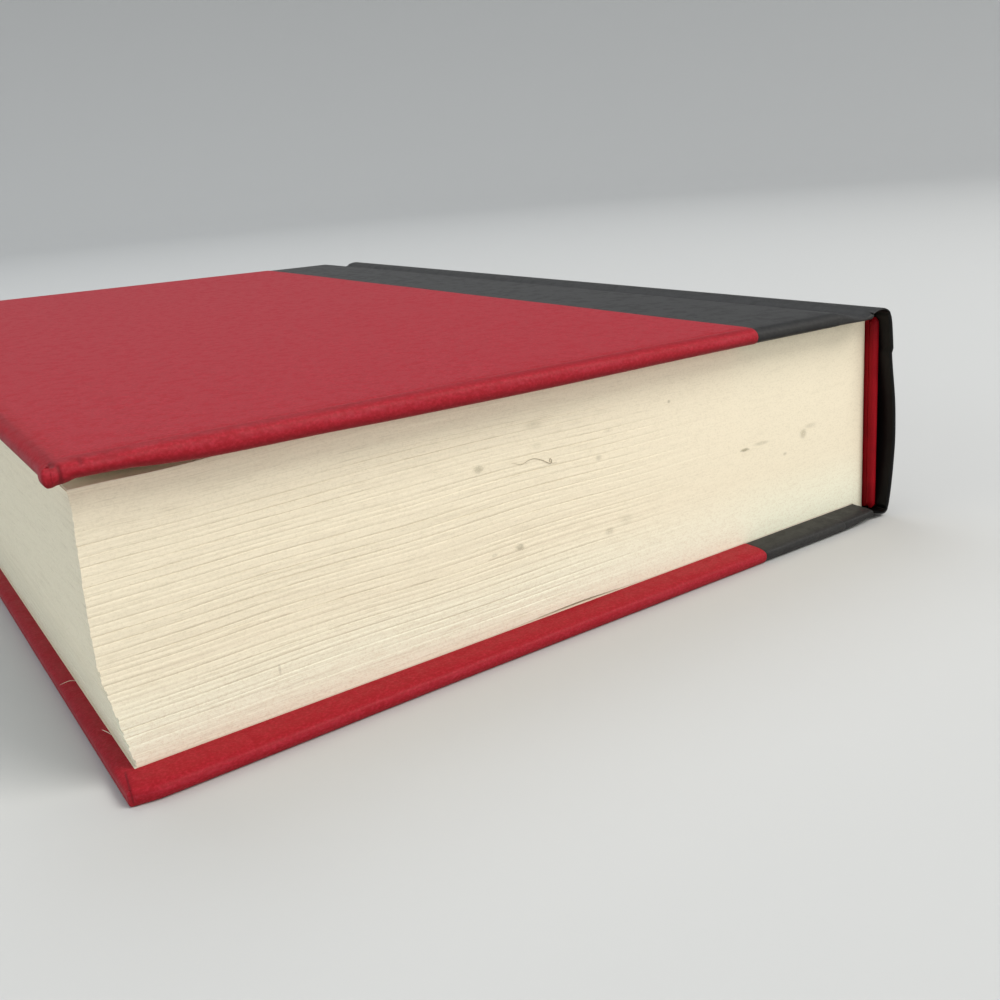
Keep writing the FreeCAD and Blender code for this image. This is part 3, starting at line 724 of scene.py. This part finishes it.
def underCover(x):  # height of the plane where the front cover meets the pages
    return frontHinge.z - math.tan(frontSlope) * (x - frontHinge.x)


def blockTop(x):
    drop = np.interp(x - pages["foreBottomX"] + pages["foreLean"], topDrop[:, 0], topDrop[:, 1])
    return underCover(x) - leafThick - drop - 0.3 * smoothStep(pages["spineTopX"] - 2.5, pages["spineTopX"], x)


def blockBottom(x):  # the lower shoulder sags into the joint
    return pages["bottom"] - pages["sag"] * smoothStep(pages["sagFrom"] - 0.6, pages["spineBottomX"], x)


blockTall = blockTop(pages["foreBottomX"]) - pages["bottom"]


# Rows up the block, four to each small group of leaves: share of the height, group, and whether it is
# the gap below that group.
def cutGroups():
    chance = np.random.default_rng(11)
    edges = [0.0, 0.5]
    while edges[-1] < blockTall - 1.1:
        edges.append(edges[-1] + chance.uniform(*pages["groupThick"]))
    edges.append(blockTall)
    rim = pages["edgeGap"] / 2
    rows = []
    for g, (low, high) in enumerate(zip(edges[:-1], edges[1:])):
        for at, isGap in ((low, g > 0), (low + rim, False), ((low + high) / 2, False), (high - rim, False)):
            rows.append((at / blockTall, g, isGap))
    return rows + [(1.0, len(edges) - 2, False)]


# Once round the block: share of the way to the spine, place along it, and the side it is on, which is
# 0 at the head, 1 at the fore-edge and 2 at the tail.
def goRound():
    ends = np.linspace(0, 1, pages["headColumns"])
    ends = np.unique(np.concatenate([ends, 1 - np.array([0.0008, 0.002, 0.0035, 0.005, 0.007])]))
    fore = np.linspace(0, 1, pages["foreColumns"])[1:-1]
    share = np.concatenate([ends[::-1], np.zeros(len(fore)), ends])
    along = np.concatenate([np.full(len(ends), blockLow.y), blockLow.y + (blockHigh.y - blockLow.y) * fore,
                            np.full(len(ends), blockHigh.y)])
    return share, along, np.repeat([0, 1, 2], [len(ends), len(fore), len(ends)])


# The groups of leaves lie a little behind each other. The gaps between them open and close along
# the block.
def pageRow(v, g, isGap, share, along, side):
    fore = pages["foreBottomX"] + np.interp(v, foreLine[:, 0], foreLine[:, 1])
    spineX = pages["spineBottomX"] + (pages["spineTopX"] - pages["spineBottomX"]) * v
    x = fore + share * (spineX - fore)
    own = np.random.default_rng(500 + g)
    swell = math.sin(math.pi * v)
    wander = swell * pages["wave"] * (waves(41, (88, 47), x + 30 * v) + 0.06 * waves(60 + g, (26, 17), x))
    z = blockBottom(x) + v * (blockTop(x) - blockBottom(x)) + wander * (1 - smoothStep(40, 75, x))
    lift = (1 - smoothStep(0, 0.03, v)) * bump(x, liftedLeaf["x"], liftedLeaf["width"])
    z += liftedLeaf["height"] * lift * (1 - smoothStep(0, liftedLeaf["reach"], along - blockLow.y))
    step = own.uniform(-1, 1) * (0.16 if v < 0.4 else 0.07) * (1 if g % 2 else 0.4)
    leftPart = 1 - 0.97 * smoothStep(-12, 42, x)  # towards the spine the leaves are pressed smooth
    back = (0.012 * own.uniform(-1, 1) + 0.014 * waves(100 + g, (37, 71, 23), x)) * leftPart
    gap = np.zeros(len(x))
    if isGap:
        opened = np.clip(0.62 + 0.55 * waves(700 + g, (55, 93, 29), x + along), 0, 1)
        atPlace = leftPart * (1 - smoothStep(0.84, 0.92, v)) * smoothStep(-0.02, 0.2, v)
        gap = opened * atPlace * (own.uniform(0.65, 0.85) if g % 2 else own.uniform(0.15, 0.4))
    inward = pages["gapDepth"] * gap
    near = np.clip((share - 1) * (spineX - fore) + pages["spineRound"], 0, pages["spineRound"])
    rounded = pages["spineRound"] - np.sqrt(pages["spineRound"] ** 2 - near ** 2)
    y = along + np.select([side == 0, side == 2], [1.0, -1.0], 0.0) * (back + inward + rounded)
    atCorner = 0.3 + 0.7 * (1 - smoothStep(0, 9, along - blockLow.y))
    onFore = (side == 1) | (share < 1e-6)
    x = x + np.where(onFore, step * atCorner + 0.02 * waves(300 + g, (31, 67), along), 0)
    return x, y, z, gap


def makePages():
    share, along, side = goRound()
    rows = cutGroups()
    points, places, gaps = [], [], []
    for v, g, isGap in rows:
        x, y, z, gap = pageRow(v, g, isGap, share, along, side)
        points.append(np.stack([x, y, z], axis=1))
        places.append(np.stack([x, y, np.full(len(x), v * blockTall)], axis=1))
        gaps.append(np.where(side == 1, 0.03 * gap, gap))
    count = len(share)
    faces = ringFaces(len(rows), count)
    n = int((side == 0).sum())
    for first in (0, (len(rows) - 1) * count):  # bottom and top
        for c in range(n - 2):
            faces.append((first + c, first + c + 1, first + count - 2 - c, first + count - 1 - c))
        faces.append(tuple(first + i for i in range(n - 2, count - n + 2)))
    piece = makePiece("pages", np.concatenate(points), faces, pagePaper, sharpAt=50,
                      attributes={"leafPlace": np.concatenate(places), "gap": np.concatenate(gaps),
                                  "fore": np.tile((side == 1) * 1.0, len(rows))})
    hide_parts("text_block")
    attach(piece, "block")


makePages()


def makeFlyleaf(name, node, height, foreSide, spineSide):
    points, faces = boxShell(gridLines(foreSide, spineSide, 0.5, 3), gridLines(blockLow.y, blockHigh.y, 1.0, 4),
                             np.array([0.0, leafThick]))
    points[:, 2] += height(points[:, 0])
    piece = makePiece(name, points, faces, endpaper)
    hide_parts(node)
    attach(piece, "block")


makeFlyleaf("frontFlyleaf", "front_flyleaf", blockTop, pages["foreBottomX"] - pages["foreLean"] + 0.1,
            pages["spineTopX"] - 0.1)
makeFlyleaf("backFlyleaf", "back_flyleaf", lambda x: blockBottom(x) - leafThick, pages["foreBottomX"],
            pages["spineBottomX"] - 0.1)
print("pages made")

# Spine covering, worked out from the back cover's hinge line: x to the spine, z up.
spine = {
    "card": 0.5, "cardLow": -1.1, "cardHigh": 40.6, "turnIn": 12.0, "edgeFold": 0.55,
    "start": [(0.15, -1.35), (1.0, -1.62), (2.4, -2.0), (4.2, -2.35), (5.3, -2.15)],
    "back": [(6.25, -0.9), (7.0, 3.2), (7.6, 9.4), (7.8, 15.0), (7.35, 22.5), (6.45, 30.5), (5.85, 36.0)],
    "end": [(5.3, 39.6), (4.5, 41.2), (3.2, 42.05), (1.6, 42.25), (0.2, 42.1), (-0.9, 41.75)],
    "wornZ": 33.1, "worn": 0.5,
}


def wornBack(x, y, z):  # the covering is worn back at the head, below its folded end
    if z >= spine["wornZ"] or x <= 5:
        return 0.0
    return spine["worn"] * smoothStep(20, spine["wornZ"], z) * (1 - smoothStep(1, 7, y + cover["halfY"]))


spineLine = curveThrough(spine["start"] + spine["back"] + spine["end"], 6)
spineStep = np.gradient(spineLine, axis=0)
spineStep /= np.linalg.norm(spineStep, axis=1)[:, None]
spineInward = np.stack([-spineStep[:, 1], spineStep[:, 0]], axis=1)


def makeSpineCover():
    halfY, fold, turnIn = cover["halfY"], spine["edgeFold"], spine["turnIn"]
    height = spineLine[:, 1]
    onCard = smoothStep(spine["cardLow"] - 0.8, spine["cardLow"], height)
    onCard *= (1 - smoothStep(spine["cardHigh"], spine["cardHigh"] + 0.8, height)) * (spineLine[:, 0] > 4)
    turns = np.linspace(0, math.pi, 9)[1:-1]
    # place along the spine and share of the folded thickness, which is None on the bare inside
    loop = [(y, 0.0) for y in gridLines(-halfY + fold, halfY - fold, 0.3, 4)]
    loop += [(halfY - fold + fold * math.sin(a), 0.5 - 0.5 * math.cos(a)) for a in turns]
    loop += [(halfY - fold, 1.0), (halfY - turnIn, 1.0), (halfY - turnIn - 0.3, None),
             (-halfY + turnIn + 0.3, None), (-halfY + turnIn, 1.0), (-halfY + fold, 1.0)]
    loop += [(-halfY + fold - fold * math.sin(a), 0.5 + 0.5 * math.cos(a)) for a in turns]
    rings, rubAndSheen, dark = [], [], []
    for at, normal, card, z in zip(spineLine, spineInward, onCard, height):
        thick = paperThick * 2 + spine["card"] * card
        ring = []
        for y, share in loop:
            x, up = at + normal * (paperThick if share is None else share * thick)
            x -= wornBack(x, y, z)
            ring.append((backHinge.x + x, y, backHinge.z + up))
            rubAndSheen.append(0.5 * bump(halfY - abs(y), 0.3, 0.5) if share == 0 else 0)
            # painted shade: the bare inside and the inner layers of the covering are painted near black, for
            # the shaded hollow of the spine
            dark.append(1.0 if share is None or share > (0.45 if z > -1 else 0.8) else 0.0)
        rings.append(np.array(ring))
    points, faces = lathe(rings)
    piece = makePiece("spineCover", points, faces, blackPaper,
                      attributes={"rubAndSheen": np.array(rubAndSheen), "paintedShade": np.array(dark)})
    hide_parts("spine_covering")
    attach(piece, "block")


def makeSpineCard():  # the card strip behind the covering
    height = spineLine[:, 1]
    kept = (height > spine["cardLow"]) & (height < spine["cardHigh"]) & (spineLine[:, 0] > 4)
    outside = (spineLine + spineInward * (paperThick + 0.02))[kept]
    inside = (spineLine + spineInward * (paperThick + spine["card"] - 0.02))[kept]
    loop = np.concatenate([outside, inside[::-1]])
    rings = []
    for y in gridLines(-cover["halfY"] + 1.6, cover["halfY"] - 1.6, 2, 6):
        rings.append(np.array([(backHinge.x + x - wornBack(x, y, z), y, backHinge.z + z) for x, z in loop]))
    points, faces = lathe(rings)
    card = makePiece("spineCard", points, faces, boardCard)
    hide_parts("spine_stiffener")
    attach(card, "block")


makeSpineCover()
makeSpineCard()
print("spine made")

# Outer line of each joint strip from the board to the spine, in the cover's own places.
jointLine = {
    "front": [(-1.9, 2.45), (-0.4, 2.45), (1.4, 2.15), (3.4, 1.45), (5.4, 1.12), (7.0, 1.25), (8.2, 1.75),
              (8.7, 1.95)],
    "back": [(-1.9, 2.45), (-0.4, 2.6), (1.4, 2.5), (3.0, 2.38), (4.6, 2.05), (6.0, 1.75), (7.4, 1.6),
             (8.5, 1.5)],
}


# The joint strip between board and spine: covering outside, endpaper inside.
def makeJoint(side, place):
    edge, halfY = cover["edgeX"], cover["halfY"]
    outer = curveThrough([(edge + x, z) for x, z in jointLine[side]], 5)
    inner = np.linspace(outer[-1][0] - 0.15, edge - 1.85, 26)
    low = 0.16  # the lining lies below it
    # both ends are rounded as the boards' ends are
    thick = cover["outer"] - cover["inner"] - cover["blackDown"]
    end = halfY - cover["blackDown"] + 0.05
    rings = []
    for y in gridLines(-end, end, 0.1, 4, 1.3):
        (top, bottom) = (tall / thick * (1 - math.sqrt(1 - np.clip((abs(y) - end + reach) / reach, 0, 1) ** 2))
                         for reach, tall in (cover["outerRound"][side], cover["innerRound"][side]))
        bottom = min(bottom, 0.98 - top)
        ring = [(x, y, low + (z - low) * (1 - top)) for x, z in outer]
        ring += [(x, y, low + (np.interp(x, outer[:, 0], outer[:, 1]) - low) * bottom) for x in inner]
        rings.append(np.array(ring))
    points, faces = lathe(rings)
    zeros = np.zeros(len(points))
    if side == "back":
        points[:, 1] -= headBulge(points)
    strip = makePiece(side + "Joint", place(points), faces, blackPaper,
                      attributes={"rubAndSheen": zeros, "paintedShade": zeros})
    loop = [(x, 0.0) for x in np.linspace(0.5, edge, 26)] + [(x, leafThick) for x in np.linspace(edge, 0.5, 26)]
    points, faces = lathe([np.array([(x, y, z) for x, z in loop])
                           for y in gridLines(backSheetLow.y, backSheetHigh.y, 0.6, 4)])
    lining = makePiece(side + "JointLining", place(points), faces, endpaper)
    start, end = place(np.array([(0.0, 0, 0), (edge, 0, 0)])) * 0.001
    for piece in (strip, lining):
        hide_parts(side + "_joint")
        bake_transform(piece)


makeJoint("front", placeFront)
makeJoint("back", placeBack)
print("joints made")

band = {
    "radius": 0.98, "flat": 0.95, "below": 0.35, "above": 0.45, "endRound": 0.7,
    "clearX": 0.89, "lean": 0.57, "ahead": 0.75, "tail": 0.35,
}


def makeBand(name, node, side):
    low, high = boxMm(node)
    tall = high.z - low.z
    beadY = (low.y if side < 0 else high.y) - side * band["ahead"]
    heights = np.linspace(low.z - band["below"], high.z + band["above"], 48)
    rings = []
    for z in heights:
        centre = blockHigh.x + band["clearX"] - band["lean"] * (z - low.z) / tall
        fromEnd = min(z - heights[0], heights[-1] - z) / band["endRound"]
        size = band["radius"] * min(1.0, fromEnd + 0.35)
        rings.append(np.array([(centre + size * math.cos(a), beadY + size * band["flat"] * math.sin(a), z)
                               for a in np.linspace(0, 2 * math.pi, 24, endpoint=False)]))
    points, faces = lathe(rings)
    bead = makePiece(name + "Bead", points, faces, headbandCloth)
    # its cloth tail is glued down the spine of the pages
    ends = (beadY - side * 0.6, high.y if side < 0 else low.y)
    points, faces = boxShell(np.array([0, band["tail"]]), np.linspace(min(ends), max(ends), 20),
                             np.linspace(low.z, high.z, 24))
    points[:, 0] += pages["spineBottomX"] - band["lean"] * (points[:, 2] - low.z) / tall + 0.05
    tail = makePiece(name + "Tail", points, faces, headbandCloth)
    for piece in (bead, tail):
        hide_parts(node)
        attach(piece, "block")


makeBand("headBand", "head_band", -1)
makeBand("tailBand", "tail_band", 1)
print("bands made")

# A hair on the head of the pages, by x and z, and two paper fibres at the fore-edge, with radii.
fibres = {
    "hair": ([(-11.4, 32.3), (-10.7, 32.1), (-9.4, 31.6), (-7.9, 32.0), (-6.6, 32.0), (-5.0, 31.3),
              (-3.9, 30.6), (-3.4, 30.4), (-3.2, 30.9), (-3.5, 31.3), (-3.6, 30.8), (-3.0, 30.4),
              (-2.1, 30.4)], 0.04),
    "fibreOne": ([(-79.0, -79.4, 3.2), (-80.1, -78.9, 3.5), (-81.0, -78.5, 3.3), (-81.8, -78.3, 3.1)], 0.05),
    "fibreTwo": ([(-79.4, -101.9, 3.3), (-79.7, -101.2, 3.5), (-80.0, -100.0, 3.4),
                  (-80.1, -98.9, 3.1)], 0.05),
}
for name, (path, radius) in fibres.items():
    if len(path[0]) == 2:
        path = [(x, blockLow.y - 0.06, z) for x, z in path]
    points, faces = tube(curveThrough(path, 5), radius)
    fibre = makePiece(name, points, faces, hairLook if name == "hair" else endpaper)
    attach(fibre, "block")

carried = {"spine_mull": gauze, "spine_liner": kraftPaper}
for node, material in carried.items():
    nodes[node].data.materials.clear()
    nodes[node].data.materials.append(material)
print("fibres and carried pieces ready")

studio = {
    "floorColour": (0.56, 0.56, 0.55, 1), "flatRadius": 1.3, "wallRadius": 2.6, "wallHeight": 2.2,
    "turns": 96, "steps": 16, "skyColour": (0.86, 0.92, 1.0, 1), "sky": 0.52,
}


def makeStudio():  # a round floor that bends up into a wall
    flat, wide, turns = studio["flatRadius"], studio["wallRadius"], studio["turns"]
    profile = [(flat, 0.0)]
    for k in range(1, studio["steps"] + 1):
        a = k / studio["steps"] * math.pi / 2
        profile.append((flat + (wide - flat) * math.sin(a), studio["wallHeight"] * (1 - math.cos(a))))
    points = [(0, 0, 0)] + [(r * math.cos(2 * math.pi * t / turns), r * math.sin(2 * math.pi * t / turns), z)
                            for r, z in profile for t in range(turns)]
    faces = [(0, 1 + (t + 1) % turns, 1 + t) for t in range(turns)]
    faces += ringFaces(len(profile), turns, first=1)
    mesh = bpy.data.meshes.new("floor")
    mesh.from_pydata(points, [], faces)
    mesh.polygons.foreach_set("use_smooth", [True] * len(mesh.polygons))
    material, w, shader = newMaterial("floorPaint", 0.9, 0.1)
    shader.inputs["Base Color"].default_value = studio["floorColour"]
    mesh.materials.append(material)
    floor = bpy.data.objects.new("floor", mesh)
    scene.collection.objects.link(floor)


makeStudio()


lights = {
    "keyLight": {"at": (0.65, -0.95, 1.25), "towards": (0, 0, 0.02),
                 "size": 0.9, "power": 18.5, "colour": (1.0, 0.97, 0.92)},
    "headLight": {"at": (0.3, -1.6, 0.6), "towards": (0, 0, 0.0),
                  "size": 0.8, "power": 4.6, "colour": (1.0, 0.96, 0.90)},
    "topLight": {"at": (0.1, 0.7, 1.5), "towards": (0, 0, 0.03),
                 "size": 1.2, "power": 9, "colour": (0.95, 0.98, 1.0)},
    "foreLight": {"at": (-1.3, 0.25, 0.5), "towards": (0, 0, 0.02),
                  "size": 0.9, "power": 4.6, "colour": (0.80, 0.93, 1.0)},
}


def areaLight(name, look):
    light = bpy.data.lights.new(name, "AREA")
    light.shape = "DISK"
    light.size = look["size"]
    light.energy = look["power"]
    light.color = look["colour"]
    lamp = bpy.data.objects.new(name, light)
    lamp.location = look["at"]
    lamp.rotation_mode = "QUATERNION"
    lamp.rotation_quaternion = (Vector(look["towards"]) - Vector(look["at"])).to_track_quat("-Z", "Y")
    scene.collection.objects.link(lamp)


for name, look in lights.items():
    areaLight(name, look)
world = bpy.data.worlds.new("studioWorld")
world.use_nodes = True
sky = world.node_tree.nodes["Background"].inputs
sky["Color"].default_value = studio["skyColour"]
sky["Strength"].default_value = studio["sky"]
scene.world = world
scene.view_settings.view_transform = "Standard"
print("lights set")

view = {
    "at": (-0.103924, -0.253946, 0.081970),
    "right": 32.5187, "up": -18.3637, "roll": -4.905, "focal": 1.05971,
}


def makeCamera():
    yaw, pitch, roll = (math.radians(view[k]) for k in ("right", "up", "roll"))
    ahead = Vector((math.sin(yaw) * math.cos(pitch), math.cos(yaw) * math.cos(pitch), math.sin(pitch)))
    level = Vector((math.cos(yaw), -math.sin(yaw), 0))
    upright = level.cross(ahead)
    right = level * math.cos(roll) + upright * math.sin(roll)
    up = upright * math.cos(roll) - level * math.sin(roll)
    camera = bpy.data.cameras.new("photoCamera")
    camera.sensor_width = 36
    camera.lens = 36 * view["focal"]
    camera.clip_start = 0.005
    holder = bpy.data.objects.new("photoCamera", camera)
    holder.matrix_world = Matrix((
        (right.x, up.x, -ahead.x, view["at"][0]), (right.y, up.y, -ahead.y, view["at"][1]),
        (right.z, up.z, -ahead.z, view["at"][2]), (0, 0, 0, 1)))
    scene.collection.objects.link(holder)
    scene.camera = holder


makeCamera()
print("scene ready")
